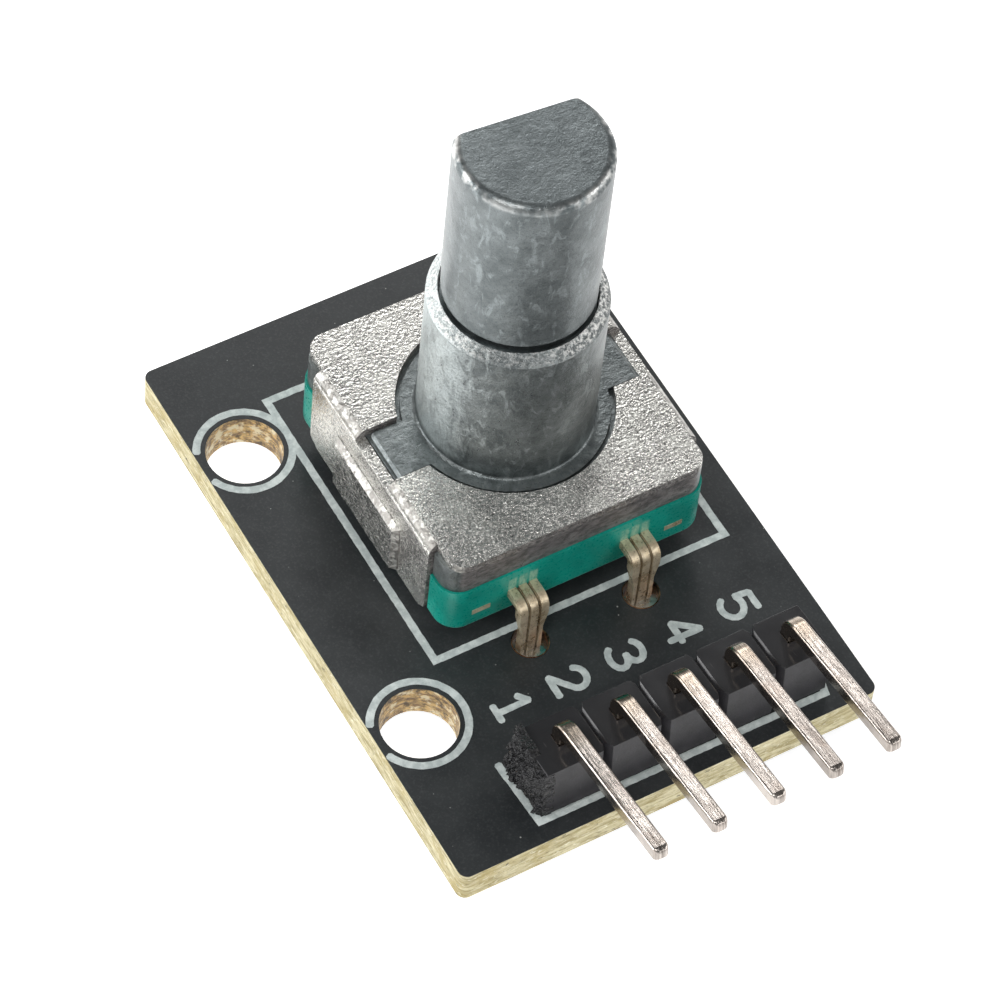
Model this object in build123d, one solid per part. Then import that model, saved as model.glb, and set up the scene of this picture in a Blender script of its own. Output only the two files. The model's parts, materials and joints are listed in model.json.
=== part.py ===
from build123d import *
from math import cos, pi, radians, sin
import os

# Rotary encoder with push switch on a small breakout board. Millimetres.
# Frame: origin on the shaft axis at the top face of the metal cover, +Z up along the shaft,
# +X to the right along the board's short side, +Y to the back; the pin header is at the front.

# ---- circuit board ----
BOARD_WIDTH = 18.5
BOARD_LENGTH = 26.3
BOARD_THICKNESS = 1.6
BOARD_CORNER = 0.4
BOARD_TOP = -5.53
BOARD_BOTTOM = BOARD_TOP - BOARD_THICKNESS
BOARD_LEFT = -10.05
BOARD_FRONT = -15.2
BOARD_MIDDLE = (BOARD_LEFT + BOARD_WIDTH / 2, BOARD_FRONT + BOARD_LENGTH / 2)
SCREW_HOLE_RADIUS = 1.56
SCREW_HOLE_X = BOARD_LEFT + 1.9
SCREW_HOLE_YS = (5.9, -8.4)
PIN_HOLE_RADIUS = 0.56
TERMINAL_HOLE_RADIUS = 0.76
PLATING = 0.04
PAD_WIDTH = 0.35
PAD_THICKNESS = 0.05

# ---- pin header, leaning back a little about the lower back edge of its strip ----
PIN_PITCH = 2.54
PIN_COUNT = 5
PIN_SIDE = 0.64
HEADER_MIDDLE_X = 0.5
HEADER_LEFT = -6.0
HEADER_RIGHT = 6.55
HEADER_BACK_Y = -11.87
HEADER_ROW_Y = HEADER_BACK_Y - 1.1
HEADER_HOLE_Y = -13.03
HEADER_LEAN = 4.5
HEADER_HEIGHT = 2.54
HEADER_DEPTH = 2.4
PIN_ARM_Z = BOARD_TOP + 3.37
PIN_TIP_Y = -20.23
PIN_TIP_RISE = 0.6
PIN_TAIL_Z = BOARD_BOTTOM - 1.4
PIN_BEND = 0.62
PIN_TIP_CHAMFER = 0.15
BREAK_GROOVE_DEPTH = 0.42
BREAK_GROOVE_HALF_WIDTH = 0.22
BREAK_NOTCH_HALF_WIDTH = 0.12
BREAK_NOTCH_DEPTH = 0.14
BROKEN_END = 0.7
PIN_XS = [HEADER_MIDDLE_X + PIN_PITCH * (i - (PIN_COUNT - 1) / 2) for i in range(PIN_COUNT)]

# ---- encoder terminals ----
TERMINAL_WIDTH = 1.3
TERMINAL_SHEET = 0.26
RIB_WIDTH = 0.34
RIB_RISE = 0.14
RIB_SPACING = 0.46
TERMINAL_Z = -3.12
TERMINAL_TAIL_Z = BOARD_BOTTOM - 1.2
TERMINAL_BEND = 0.26
LEAD_SETBACK = 0.2
TERMINAL_TAIL_HALF_WIDTH = 0.46
TERMINAL_TAPER_TOP = -3.7
TERMINAL_TAPER_BOTTOM = -4.6
SIGNAL_ROW_Y = 7.5
SIGNAL_XS = (-2.5, 0.0, 2.5)
SWITCH_ROW_Y = -7.1
SWITCH_XS = (-2.5, 2.5)

# ---- metal cover ----
SHEET = 0.4
COVER_HALF_X = 5.95
COVER_BEND = 0.6
PLATE_HALF_X = 5.6
PLATE_HALF_Y = 6.1
PLATE_CORNER = 0.75
SKIRT_HALF_Y = 4.6
SKIRT_CORNER = 0.7
COVER_OPENING_RADIUS = 4.3
LUG_WINDOW_HALF_Y = 1.28
LUG_WINDOW_SKIRT_Z = -0.45
RAISED_PANEL_OUT = 0.25
RAISED_PANEL_HALF_Y = 2.5
RAISED_PANEL_TOP = -1.6
RAISED_PANEL_BEVEL = 0.225
FOLD_TAB_WIDTH = 1.7
FOLD_TAB_REACH = 1.6
FOLD_TAB_Y = 3.3
FOLD_BEND = 0.32

# ---- die-cast bushing ----
FLANGE_TOP = -SHEET
FLANGE_BOTTOM = -1.78
FLANGE_HALF_X = 5.75
FLANGE_HALF_Y = 6.0
FLANGE_CORNER = 0.85
BOSS_TOP = -0.18
BOSS_RADIUS = 4.1
LUG_HALF_X = 5.35
LUG_HALF_Y = 1.15
LUG_CHAMFER = 0.12
BUSHING_RADIUS = 3.5
BUSHING_TOP = 7.4
BUSHING_CHAMFER = 0.5
BUSHING_FILLET = 0.15
BORE_RADIUS = 3.03
BORE_CHAMFER = 0.12
CAVITY_RADIUS = 4.85
CAVITY_CEILING = -0.95

# ---- shaft ----
SHAFT_RADIUS = 3.0
JOURNAL_RADIUS = 2.98
SHAFT_TOP = 15.75
KNOB_SEAT_START = 7.62
NECK_BOTTOM = 7.0
NECK_RADIUS = 2.8
FLAT_START = 8.6
FLAT_DISTANCE = 1.5
FLAT_TURN = -5.0
SHAFT_ROUND = 0.4
CLIP_GROOVE_TOP = -1.0
CLIP_GROOVE_BOTTOM = -1.3
CLIP_GROOVE_RADIUS = 2.4
COLLAR_BOTTOM = -1.5
STEM_RADIUS = 2.2
STEM_FLAT = 1.6
STEM_TIP = -2.64

# ---- retaining clip ----
CLIP_RADIUS = 3.7
CLIP_INNER_RADIUS = 2.43
CLIP_THICKNESS = 0.26
CLIP_GAP_ANGLE = 70.0

# ---- rotor and its contact ----
ROTOR_RADIUS = 4.7
ROTOR_WELL_RADIUS = 3.85
ROTOR_CROWN = -1.6
ROTOR_WEB_TOP = -2.05
ROTOR_BOTTOM = -2.75
KEY_CLEARANCE = 0.05
DETENTS = 20
TOOTH_RISE = 0.2
TOOTH_BASE = 1.0
TOOTH_END_MARGIN = 0.06
WIPER_SHEET = 0.1
WIPER_OUTER = 4.55
WIPER_INNER = 2.42
WIPER_ARM_WIDTH = 0.45
WIPER_TRACK_GAP = 0.02
WIPER_FOOT_RADIUS = 0.09

# ---- detent spring ----
SPRING_SHEET = 0.14
SPRING_OUTER = 4.8
SPRING_INNER = 3.95
SPRING_BUMP_BOTTOM = -1.37
SPRING_BUMP_HALF_WIDTH = 0.45
SPRING_BUMP_MARGIN = 0.1

# ---- contact base and its plates ----
BASE_BOTTOM = -4.3
BASE_HALF_X = 5.85
BASE_HALF_Y = 6.1
BASE_CORNER = 0.95
SKIRT_RECESS_X = 5.45
SKIRT_RECESS_HALF_Y = 4.7
BASE_BOTTOM_EDGE = 0.3
BASE_FLOOR = -3.0
PIT_RADIUS = 2.3
PIT_FLOOR = -3.7
TRACK_SHEET = 0.2
TRACK_C = (2.45, 2.95)
TRACK_A = (3.15, 3.6)
TRACK_B = (3.95, 4.4)
TRACK_TOOTH = 0.16
BAR_TOP = -3.42
BAR_THICKNESS = 0.2
BAR_WIDTH = 0.7
RISER_Y = 5.2
DROP_REACH = 0.8
SWITCH_SHEET = 0.15
SWITCH_RING = (1.65, 2.2)
SWITCH_DISC_RADIUS = 0.6
STUB_SIZE = (0.8, 0.7, 0.26)
STUB_X = 4.3
STUB_Z = -3.32
STUB_PROUD = 0.02

# ---- push switch ----
DOME_RADIUS = 2.05
DOME_TOP = -3.17
DOME_SHEET = 0.07
PLUNGER_BOTTOM = -3.15
PLUNGER_FLANGE_TOP = -2.92
PLUNGER_TOP = -2.66
PLUNGER_FLANGE_RADIUS = 1.9
PLUNGER_STUB_RADIUS = 1.2

# ---- solder and chip resistors under the board ----
SOLDER_DROP = 0.9
SOLDER_TOP_GAP = 0.5
SOLDER_RIM_MARGIN = 0.05
SOLDER_NECK = 1.08
SOLDER_HOLLOW = 0.08
SOLDER_HOLLOW_DROP = 0.34
RESISTOR_SIZE = (1.6, 0.8, 0.45)
RESISTOR_CAP = 0.3
RESISTOR_SPOTS = ((-5.2, -5.0), (-5.2, -1.4))
RESISTOR_CLEARANCE = 0.04
SOLDER_FILLET_REACH = 0.35
SOLDER_FILLET_HEIGHT = 0.36


def ring(outer, inner, bottom, top):
    """Flat ring about the shaft axis between two heights."""
    disc = Pos(0, 0, (bottom + top) / 2) * Cylinder(outer, top - bottom)
    hole = Pos(0, 0, (bottom + top) / 2) * Cylinder(inner, 2 * (top - bottom))
    return disc - hole


def rounded_plate(half_x, half_y, corner, bottom, top):
    """Plate with rounded vertical corners, centred on the shaft axis."""
    outline = RectangleRounded(2 * half_x, 2 * half_y, corner)
    return extrude(Pos(0, 0, bottom) * outline, amount=top - bottom)


def block(x, y, z):
    """Box from three (low, high) pairs."""
    size = [b - a for a, b in (x, y, z)]
    middle = [(a + b) / 2 for a, b in (x, y, z)]
    return Pos(*middle) * Box(*size)


def strip(points, bend, width, thickness):
    """Rectangular bar swept along a bent line that lies in a plane of constant X."""
    path = FilletPolyline(*points, radius=bend)
    section = Plane(origin=path @ 0, x_dir=(1, 0, 0), z_dir=path % 0) * Rectangle(width, thickness)
    return sweep(section, path=path)


def through_holes():
    """Centre and radius of every plated hole: header pins, signal and switch terminals."""
    holes = [(x, HEADER_HOLE_Y, PIN_HOLE_RADIUS) for x in PIN_XS]
    holes += [(x, SIGNAL_ROW_Y, TERMINAL_HOLE_RADIUS) for x in SIGNAL_XS]
    holes += [(x, SWITCH_ROW_Y, TERMINAL_HOLE_RADIUS) for x in SWITCH_XS]
    return holes


def skirt_recesses():
    """The two shallow pockets in the sides of the housing that take the cover's skirts."""
    reach = 2 * BASE_HALF_X
    across = (-SKIRT_RECESS_HALF_Y, SKIRT_RECESS_HALF_Y)
    height = (2 * BASE_BOTTOM, 0)
    return [block(span, across, height) for span in ((-reach, -SKIRT_RECESS_X), (SKIRT_RECESS_X, reach))]


def make_circuit_board():
    outline = RectangleRounded(BOARD_WIDTH, BOARD_LENGTH, BOARD_CORNER)
    board = extrude(Pos(*BOARD_MIDDLE, BOARD_BOTTOM) * outline, amount=BOARD_THICKNESS)
    middle_z = (BOARD_TOP + BOARD_BOTTOM) / 2
    for y in SCREW_HOLE_YS:
        board -= Pos(SCREW_HOLE_X, y, middle_z) * Cylinder(SCREW_HOLE_RADIUS, 2 * BOARD_THICKNESS)
    for x, y, radius in through_holes():
        board -= Pos(x, y, middle_z) * Cylinder(radius, 2 * BOARD_THICKNESS)
    return board


def make_plated_hole(x, y, radius):
    """Copper barrel through the board with its solder pad on the underside."""
    barrel_length = BOARD_THICKNESS + PAD_THICKNESS
    barrel = Cylinder(radius, barrel_length, align=(Align.CENTER, Align.CENTER, Align.MAX))
    pad = Pos(0, 0, -BOARD_THICKNESS) * Cylinder(
        radius + PAD_WIDTH, PAD_THICKNESS, align=(Align.CENTER, Align.CENTER, Align.MAX))
    hole = Cylinder(radius - PLATING, 3 * BOARD_THICKNESS)
    return Pos(x, y, BOARD_TOP) * (barrel + pad - hole)


def lean_header(piece):
    """Turns a piece of the upright header about the strip's lower back edge."""
    hinge = Pos(0, HEADER_BACK_Y, BOARD_TOP)
    return hinge * Rot(-HEADER_LEAN, 0, 0) * hinge.inverse() * piece


def make_header_pin(x):
    """Square pin: up from under the board, bent forward over the front edge, rising to its tip."""
    tip_z = PIN_ARM_Z + PIN_TIP_RISE
    points = [(x, HEADER_ROW_Y, PIN_TAIL_Z), (x, HEADER_ROW_Y, PIN_ARM_Z), (x, PIN_TIP_Y, tip_z)]
    pin = strip(points, PIN_BEND, PIN_SIDE, PIN_SIDE)
    tail = pin.faces().sort_by(Axis.Z)[0]
    tip = pin.faces().sort_by(Axis.Y)[0]
    return lean_header(chamfer(tail.edges() + tip.edges(), PIN_TIP_CHAMFER))


def make_header_strip():
    """Black insulator: five blocks joined at break grooves, snapped off roughly at its left end."""
    front = HEADER_BACK_Y - HEADER_DEPTH
    top = BOARD_TOP + HEADER_HEIGHT
    body = block((HEADER_LEFT, HEADER_RIGHT), (front, HEADER_BACK_Y), (BOARD_TOP, top))
    for left_x, right_x in zip(PIN_XS, PIN_XS[1:]):
        x = (left_x + right_x) / 2
        for face_y, inward in ((front, 1), (HEADER_BACK_Y, -1)):
            outline = Polygon(
                (x - BREAK_GROOVE_HALF_WIDTH, face_y),
                (x + BREAK_GROOVE_HALF_WIDTH, face_y),
                (x, face_y + inward * BREAK_GROOVE_DEPTH),
                align=None)
            body -= extrude(Pos(0, 0, BOARD_TOP) * outline, amount=HEADER_HEIGHT, dir=(0, 0, 1))
        notch = Plane.XZ * Polygon(
            (x - BREAK_NOTCH_HALF_WIDTH, top),
            (x + BREAK_NOTCH_HALF_WIDTH, top),
            (x, top - BREAK_NOTCH_DEPTH),
            align=None)
        body -= extrude(Pos(0, HEADER_BACK_Y, 0) * notch, amount=HEADER_DEPTH, dir=(0, -1, 0))
    stub = block(
        (HEADER_LEFT - BROKEN_END, HEADER_LEFT),
        (front + BREAK_GROOVE_DEPTH, HEADER_BACK_Y - BREAK_GROOVE_DEPTH),
        (BOARD_TOP, top - BROKEN_END / 2))
    body += chamfer(stub.edges().group_by(Axis.X)[0], BROKEN_END / 3)
    side = PIN_SIDE / 2
    for x in PIN_XS:
        body -= block((x - side, x + side), (HEADER_ROW_Y - side, HEADER_ROW_Y + side), (BOARD_TOP, top))
    return lean_header(body)


def make_terminal(x, row_y):
    """Ribbed sheet terminal: out of the base, bent down, through the board."""
    side = 1 if row_y > 0 else -1
    tail_y = row_y - side * LEAD_SETBACK
    points = [(x, side * RISER_Y, TERMINAL_Z), (x, tail_y, TERMINAL_Z), (x, tail_y, TERMINAL_TAIL_Z)]
    terminal = strip(points, TERMINAL_BEND, TERMINAL_WIDTH, TERMINAL_SHEET)
    outer = TERMINAL_BEND + RIB_RISE / 2
    lift = RIB_RISE / 2
    rib_points = [
        (x, side * RISER_Y, TERMINAL_Z + lift),
        (x, tail_y + side * lift, TERMINAL_Z + lift),
        (x, tail_y + side * lift, TERMINAL_TAIL_Z)]
    for offset in (-RIB_SPACING, 0, RIB_SPACING):
        shifted = [(px + offset, py, pz) for px, py, pz in rib_points]
        terminal += strip(shifted, outer, RIB_WIDTH, TERMINAL_SHEET + RIB_RISE)
    for hand in (-1, 1):
        outer_x = x + hand * TERMINAL_WIDTH
        tail_x = x + hand * TERMINAL_TAIL_HALF_WIDTH
        offcut = Plane.XZ * Polygon(
            (x + hand * TERMINAL_WIDTH / 2, TERMINAL_TAPER_TOP),
            (outer_x, TERMINAL_TAPER_TOP),
            (outer_x, 2 * TERMINAL_TAIL_Z),
            (tail_x, 2 * TERMINAL_TAIL_Z),
            (tail_x, TERMINAL_TAPER_BOTTOM),
            align=None)
        back_y = row_y + TERMINAL_WIDTH
        terminal -= extrude(Pos(0, back_y, 0) * offcut, amount=2 * TERMINAL_WIDTH, dir=(0, -1, 0))
    return terminal


def make_track(radii, start_angle):
    """Flat contact ring with one outward tooth per detent."""
    inner, outer = radii
    bottom = BASE_FLOOR - TRACK_SHEET
    track = ring(outer, inner, bottom, BASE_FLOOR)
    tooth_width = pi * outer / DETENTS
    tooth = block((outer - TRACK_TOOTH, outer + TRACK_TOOTH), (-tooth_width / 2, tooth_width / 2),
                  (bottom, BASE_FLOOR))
    for i in range(DETENTS):
        track += Rot(0, 0, start_angle + 360 / DETENTS * i) * tooth
    return track


def make_signal_contact(x, track, track_radius):
    """Contact ring, its buried bar to the back wall, and its terminal."""
    bar_half = BAR_WIDTH / 2
    bar_bottom = BAR_TOP - BAR_THICKNESS
    widest = track_radius * DROP_REACH
    drop_x = max(-widest, min(widest, x))
    reach_y = (track_radius ** 2 - drop_x ** 2) ** 0.5
    drop = block((drop_x - bar_half / 2, drop_x + bar_half / 2),
                 (reach_y - bar_half / 2, reach_y + bar_half / 2),
                 (bar_bottom, BASE_FLOOR - TRACK_SHEET / 2))
    low_x = min(drop_x, x) - bar_half / 2
    high_x = max(drop_x, x) + bar_half / 2
    bar = block((drop_x - bar_half / 2, drop_x + bar_half / 2), (reach_y, RISER_Y), (bar_bottom, BAR_TOP))
    jog = block((low_x, high_x), (RISER_Y - bar_half, RISER_Y), (bar_bottom, BAR_TOP))
    riser = block((x - bar_half, x + bar_half), (RISER_Y - TERMINAL_SHEET, RISER_Y),
                  (bar_bottom, TERMINAL_Z + TERMINAL_SHEET / 2))
    return track + drop + bar + jog + riser + make_terminal(x, SIGNAL_ROW_Y)


def make_contact_a():
    return make_signal_contact(SIGNAL_XS[0], make_track(TRACK_A, 0), sum(TRACK_A) / 2)


def make_contact_b():
    quarter_step = 360 / DETENTS / 4
    return make_signal_contact(SIGNAL_XS[2], make_track(TRACK_B, quarter_step), sum(TRACK_B) / 2)


def make_contact_common():
    inner, outer = TRACK_C
    track = ring(outer, inner, BASE_FLOOR - TRACK_SHEET, BASE_FLOOR)
    return make_signal_contact(SIGNAL_XS[1], track, (inner + outer) / 2)


def make_switch_riser(x):
    """Riser inside the front wall that joins a switch plate to its terminal."""
    half = BAR_WIDTH / 2
    return block((x - half, x + half), (-RISER_Y, -RISER_Y + TERMINAL_SHEET),
                 (PIT_FLOOR - SWITCH_SHEET, TERMINAL_Z + TERMINAL_SHEET / 2))


def make_switch_contact_centre():
    """Centre contact of the push switch, with the left front terminal."""
    x = SWITCH_XS[0]
    half = BAR_WIDTH / 4
    level = (PIT_FLOOR - SWITCH_SHEET, PIT_FLOOR)
    disc = Pos(0, 0, sum(level) / 2) * Cylinder(SWITCH_DISC_RADIUS, SWITCH_SHEET)
    run = block((-half, half), (-RISER_Y + BAR_WIDTH, 0), level)
    jog = block((x - half, half), (-RISER_Y, -RISER_Y + BAR_WIDTH), level)
    return disc + run + jog + make_switch_riser(x) + make_terminal(x, SWITCH_ROW_Y)


def make_switch_contact_rim():
    """Rim contact that carries the dome's edge, with the right front terminal."""
    x = SWITCH_XS[1]
    inner, outer = SWITCH_RING
    level = (PIT_FLOOR - SWITCH_SHEET, PIT_FLOOR)
    rim = ring(outer, inner, *level)
    gap_level = (level[0] - SWITCH_SHEET, level[1] + SWITCH_SHEET)
    rim -= block((-BAR_WIDTH, BAR_WIDTH), (-2 * outer, 0), gap_level)
    run_x = outer * DROP_REACH
    run_top = -(outer ** 2 - run_x ** 2) ** 0.5
    half = BAR_WIDTH / 4
    run = block((run_x - half, run_x + half), (-RISER_Y, run_top), level)
    jog = block((run_x - half, x + half), (-RISER_Y, -RISER_Y + BAR_WIDTH), level)
    return rim + run + jog + make_switch_riser(x) + make_terminal(x, SWITCH_ROW_Y)


def make_lead_frame_stubs():
    """Cut ends of the stamped lead frame, flush in the front and back walls of the base."""
    sx, sy, sz = STUB_SIZE
    stubs = []
    for side in (-1, 1):
        for x in (-STUB_X, STUB_X):
            outer_y = side * (BASE_HALF_Y + STUB_PROUD)
            inner_y = outer_y - side * sy
            stubs.append(block((x - sx / 2, x + sx / 2), (min(outer_y, inner_y), max(outer_y, inner_y)),
                               (STUB_Z - sz / 2, STUB_Z + sz / 2)))
    return stubs


def make_contact_base(embedded):
    """Moulded cup that holds the contact plates, with the switch pit in its floor."""
    base = rounded_plate(BASE_HALF_X, BASE_HALF_Y, BASE_CORNER, BASE_BOTTOM, FLANGE_BOTTOM)
    base = fillet(base.edges().group_by(Axis.Z)[0], BASE_BOTTOM_EDGE)
    base -= skirt_recesses()
    cup_height = FLANGE_BOTTOM - BASE_FLOOR
    pit_height = BASE_FLOOR - PIT_FLOOR
    base -= Pos(0, 0, BASE_FLOOR + cup_height / 2) * Cylinder(CAVITY_RADIUS, cup_height)
    base -= Pos(0, 0, PIT_FLOOR + pit_height / 2) * Cylinder(PIT_RADIUS, pit_height)
    for piece in embedded:
        base -= piece
    return base


def make_metal_cover():
    """Bent sheet cover: flat top, two side skirts and four tabs folded under the base."""
    channel = block((-COVER_HALF_X, COVER_HALF_X), (-SKIRT_HALF_Y, SKIRT_HALF_Y), (BASE_BOTTOM, 0))
    channel = fillet(channel.edges().filter_by(Axis.Y).group_by(Axis.Z)[-1], COVER_BEND)
    inner_x = COVER_HALF_X - SHEET
    inside = block((-inner_x, inner_x), (-2 * SKIRT_HALF_Y, 2 * SKIRT_HALF_Y), (2 * BASE_BOTTOM, -SHEET))
    inside = fillet(inside.edges().filter_by(Axis.Y).group_by(Axis.Z)[-1], COVER_BEND - SHEET)
    lower_corners = channel.edges().filter_by(Axis.X).group_by(Axis.Z)[0]
    channel = fillet(lower_corners, SKIRT_CORNER / 2)
    cover = channel - inside
    for side in (-1, 1):
        panel = block((COVER_HALF_X - SHEET / 2, COVER_HALF_X + RAISED_PANEL_OUT),
                      (-RAISED_PANEL_HALF_Y, RAISED_PANEL_HALF_Y), (BASE_BOTTOM, RAISED_PANEL_TOP))
        outer_edges = panel.edges().group_by(Axis.X)[-1]
        bevelled = outer_edges.group_by(Axis.Z)[-1] + outer_edges.filter_by(Axis.Z)
        panel = chamfer(bevelled, RAISED_PANEL_BEVEL)
        cover += panel if side > 0 else Rot(0, 0, 180) * panel
        for y in (-FOLD_TAB_Y, FOLD_TAB_Y):
            edge_x = side * COVER_HALF_X
            reach_x = side * (COVER_HALF_X - FOLD_TAB_REACH)
            tab = block((min(edge_x, reach_x), max(edge_x, reach_x)),
                        (y - FOLD_TAB_WIDTH / 2, y + FOLD_TAB_WIDTH / 2),
                        (BASE_BOTTOM - SHEET, BASE_BOTTOM))
            outer = tab.edges().filter_by(Axis.Y).group_by(Axis.Z)[0].sort_by(Axis.X)[-1 if side > 0 else 0]
            cover += fillet(outer, FOLD_BEND)
    cover += rounded_plate(PLATE_HALF_X, PLATE_HALF_Y, PLATE_CORNER, -SHEET, 0)
    cover -= Cylinder(COVER_OPENING_RADIUS, 4 * SHEET)
    window_reach = 2 * COVER_HALF_X
    cover -= block((-window_reach, window_reach), (-LUG_WINDOW_HALF_Y, LUG_WINDOW_HALF_Y),
                   (LUG_WINDOW_SKIRT_Z, 2 * SHEET))
    return cover


def make_bushing():
    """Die-cast flange, boss with two lugs, and the plain bushing tube."""
    body = rounded_plate(FLANGE_HALF_X, FLANGE_HALF_Y, FLANGE_CORNER, FLANGE_BOTTOM, FLANGE_TOP)
    body -= skirt_recesses()
    body += Pos(0, 0, (FLANGE_TOP + BOSS_TOP) / 2) * Cylinder(BOSS_RADIUS, BOSS_TOP - FLANGE_TOP)
    lugs = block((-LUG_HALF_X, LUG_HALF_X), (-LUG_HALF_Y, LUG_HALF_Y), (FLANGE_TOP, BOSS_TOP))
    body += chamfer(lugs.edges().filter_by(Axis.Y).group_by(Axis.Z)[-1], LUG_CHAMFER)
    tube_height = BUSHING_TOP - BOSS_TOP
    tube = Pos(0, 0, BOSS_TOP + tube_height / 2) * Cylinder(BUSHING_RADIUS, tube_height)
    body += chamfer(tube.edges().group_by(Axis.Z)[-1], BUSHING_CHAMFER)
    foot = body.edges().filter_by(GeomType.CIRCLE).filter_by(
        lambda e: abs(e.radius - BUSHING_RADIUS) < 1e-6 and abs(e.center().Z - BOSS_TOP) < 1e-6)
    body = fillet(foot, BUSHING_FILLET)
    body -= Cylinder(BORE_RADIUS, 4 * BUSHING_TOP)
    rim_radius = BORE_RADIUS + BORE_CHAMFER
    body -= Pos(0, 0, BUSHING_TOP - BORE_CHAMFER / 2) * Cone(BORE_RADIUS, rim_radius, BORE_CHAMFER)
    cavity_height = CAVITY_CEILING - FLANGE_BOTTOM
    body -= Pos(0, 0, FLANGE_BOTTOM + cavity_height / 2) * Cylinder(CAVITY_RADIUS, cavity_height)
    return body


def make_double_d(radius, flat, bottom, top):
    """Round bar with two opposite flats."""
    bar = Pos(0, 0, (bottom + top) / 2) * Cylinder(radius, top - bottom)
    return bar & block((-radius, radius), (-flat, flat), (bottom, top))


def make_shaft():
    """Knob shaft with a D-flat, a relief neck, a plain journal, a clip groove and a double-D key."""
    knob_length = SHAFT_TOP - FLAT_START
    knob = Pos(0, 0, FLAT_START + knob_length / 2) * Cylinder(SHAFT_RADIUS, knob_length)
    flat_cut = block((-2 * SHAFT_RADIUS, 2 * SHAFT_RADIUS), (FLAT_DISTANCE, 2 * SHAFT_RADIUS),
                     (0, 2 * SHAFT_TOP))
    knob -= Rot(0, 0, FLAT_TURN) * flat_cut
    rim = knob.edges().group_by(Axis.Z)[-1]
    knob = fillet(rim.filter_by(GeomType.CIRCLE), SHAFT_ROUND)
    root_length = FLAT_START - KNOB_SEAT_START
    root = Pos(0, 0, KNOB_SEAT_START + root_length / 2) * Cylinder(JOURNAL_RADIUS, root_length)
    neck_length = KNOB_SEAT_START - NECK_BOTTOM
    neck = Pos(0, 0, NECK_BOTTOM + neck_length / 2) * Cylinder(NECK_RADIUS, neck_length)
    journal_length = NECK_BOTTOM - COLLAR_BOTTOM
    journal = Pos(0, 0, COLLAR_BOTTOM + journal_length / 2) * Cylinder(JOURNAL_RADIUS, journal_length)
    groove = ring(2 * SHAFT_RADIUS, CLIP_GROOVE_RADIUS, CLIP_GROOVE_BOTTOM, CLIP_GROOVE_TOP)
    stem = make_double_d(STEM_RADIUS, STEM_FLAT, STEM_TIP, COLLAR_BOTTOM)
    return knob + root + neck + journal - groove + stem


def make_retaining_clip():
    """Open ring snapped into the shaft's groove, under the casting."""
    middle = (CLIP_GROOVE_TOP + CLIP_GROOVE_BOTTOM) / 2
    clip = ring(CLIP_RADIUS, CLIP_INNER_RADIUS, middle - CLIP_THICKNESS / 2, middle + CLIP_THICKNESS / 2)
    half_angle = radians(CLIP_GAP_ANGLE / 2)
    reach = 2 * CLIP_RADIUS
    wedge = Polygon((0, 0), (reach * cos(half_angle), -reach * sin(half_angle)),
                    (reach * cos(half_angle), reach * sin(half_angle)), align=None)
    return clip - extrude(Pos(0, 0, middle - CLIP_THICKNESS) * wedge, amount=2 * CLIP_THICKNESS)


def make_rotor():
    """Keyed carrier: a web the shaft slides through and a crown with one notch per detent."""
    rotor = ring(ROTOR_RADIUS, ROTOR_WELL_RADIUS, ROTOR_BOTTOM, ROTOR_CROWN)
    web_height = ROTOR_WEB_TOP - ROTOR_BOTTOM
    rotor += Pos(0, 0, ROTOR_BOTTOM + web_height / 2) * Cylinder(ROTOR_RADIUS, web_height)
    rotor -= make_double_d(STEM_RADIUS + KEY_CLEARANCE, STEM_FLAT + KEY_CLEARANCE,
                           2 * ROTOR_BOTTOM, ROTOR_CROWN)
    outline = Plane.YZ * Polygon((-TOOTH_BASE / 2, ROTOR_CROWN), (TOOTH_BASE / 2, ROTOR_CROWN),
                                 (0, ROTOR_CROWN + TOOTH_RISE), align=None)
    tooth_length = ROTOR_RADIUS - ROTOR_WELL_RADIUS - 2 * TOOTH_END_MARGIN
    tooth = extrude(outline, amount=tooth_length, dir=(1, 0, 0))
    tooth = Pos(ROTOR_WELL_RADIUS + TOOTH_END_MARGIN, 0, 0) * tooth
    step = 360 / DETENTS
    for i in range(DETENTS):
        rotor += Rot(0, 0, step * (i + 0.5)) * tooth
    return rotor


def make_wiper():
    """Springy contact ring under the rotor; each finger rides on one of the three tracks."""
    top = ROTOR_BOTTOM
    wiper = ring(WIPER_OUTER, WIPER_INNER, top - WIPER_SHEET, top)
    for radii, angle in ((TRACK_C, 90), (TRACK_A, 210), (TRACK_B, 330)):
        radius = sum(radii) / 2
        finger = block((radius - WIPER_ARM_WIDTH / 2, radius + WIPER_ARM_WIDTH / 2),
                       (-WIPER_ARM_WIDTH / 2, WIPER_ARM_WIDTH / 2),
                       (BASE_FLOOR + WIPER_TRACK_GAP, top - WIPER_SHEET))
        foot = finger.edges().filter_by(Axis.X).group_by(Axis.Z)[0]
        wiper += Rot(0, 0, angle) * fillet(foot, WIPER_FOOT_RADIUS)
    return wiper


def make_detent_spring():
    """Spring ring under the casting with two ridges over opposite detent notches."""
    bottom = CAVITY_CEILING - SPRING_SHEET
    spring = ring(SPRING_OUTER, SPRING_INNER, bottom, CAVITY_CEILING)
    outline = Plane.YZ * Polygon((-SPRING_BUMP_HALF_WIDTH, bottom), (SPRING_BUMP_HALF_WIDTH, bottom),
                                 (0, SPRING_BUMP_BOTTOM), align=None)
    ridge_length = SPRING_OUTER - SPRING_INNER - 2 * SPRING_BUMP_MARGIN
    ridge = extrude(outline, amount=ridge_length, dir=(1, 0, 0))
    ridge = Pos(SPRING_INNER + SPRING_BUMP_MARGIN, 0, 0) * ridge
    for angle in (90, 270):
        spring += Rot(0, 0, angle) * ridge
    return spring


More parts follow.
